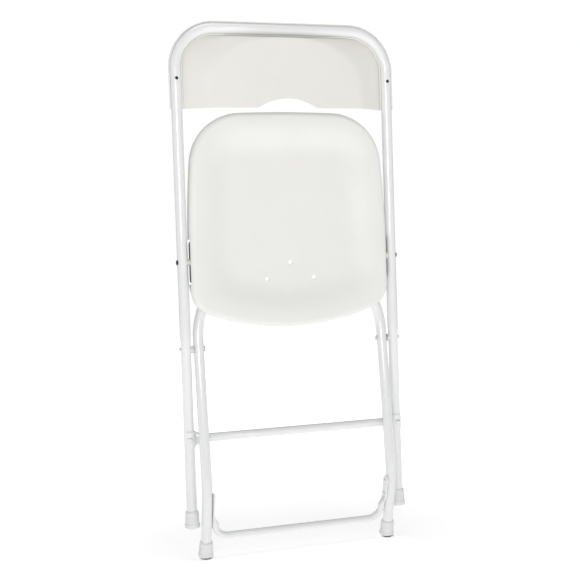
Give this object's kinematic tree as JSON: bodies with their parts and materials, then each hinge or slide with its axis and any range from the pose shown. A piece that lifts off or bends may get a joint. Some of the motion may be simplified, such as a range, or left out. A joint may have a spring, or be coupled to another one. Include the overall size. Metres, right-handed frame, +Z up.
{
  "type": "folding chair",
  "caption": "Folding chair with a bent-tube front hoop, a moulded seat and back panel, and rear legs that pivot inside the hoop to fold flat.",
  "frame": {"origin": "on the floor, below the middle of the folded chair's bounding box", "axes": "+Z up along the hoop, -Y the side the sitter faces, +X the sitter's left"},
  "size_m": [0.4476, 0.0702, 1.0092],
  "materials": {
    "frame_paint": "semi-gloss white powder coat",
    "seat_plastic": "satin moulded plastic",
    "panel_plastic": "satin moulded plastic",
    "foot_plastic": "satin soft plastic",
    "spacer_plastic": "satin",
    "zinc_steel": "zinc plated",
    "black_steel": "black oxide"
  },
  "bodies": {
    "front_frame": {"front_frame_tube": "frame_paint", "front_crossbar": "frame_paint", "crossbar_rivets": "zinc_steel", "back_panel": "panel_plastic", "back_panel_screws": "black_steel", "left_front_foot": "foot_plastic", "right_front_foot": "foot_plastic", "left_seat_pivot_rivet": "black_steel", "right_seat_pivot_rivet": "black_steel", "left_leg_pivot_rivet": "zinc_steel", "right_leg_pivot_rivet": "zinc_steel", "left_seat_pivot_spacer": "spacer_plastic", "right_seat_pivot_spacer": "spacer_plastic", "left_leg_pivot_spacer": "spacer_plastic", "right_leg_pivot_spacer": "spacer_plastic", "left_leg_pivot_washer": "zinc_steel", "right_leg_pivot_washer": "zinc_steel"},
    "rear_legs": {"rear_leg_tube": "frame_paint", "rear_brace": "frame_paint", "rear_brace_rivets": "zinc_steel", "left_rear_foot": "foot_plastic", "right_rear_foot": "foot_plastic"},
    "seat": {"seat_shell": "seat_plastic", "left_seat_bracket": "black_steel", "right_seat_bracket": "black_steel", "seat_bracket_screws": "zinc_steel", "left_seat_rail": "zinc_steel", "right_seat_rail": "zinc_steel", "seat_rail_screws": "zinc_steel"}
  },
  "joints": [
    {"name": "rear_legs_fold", "type": "hinge", "parent": "front_frame", "child": "rear_legs", "pos_m": [0, -0.00242, 0.39774], "axis": [1, 0, 0], "range_deg": [0, 71.5]},
    {"name": "seat_fold", "type": "hinge", "parent": "front_frame", "child": "seat", "pos_m": [0, -0.00242, 0.56074], "axis": [1, 0, 0], "range_deg": [0, 115]}
  ],
  "couplings": [
    {"joint": "seat_fold", "follows": "rear_legs_fold", "ratio": 1.6084}
  ]
}
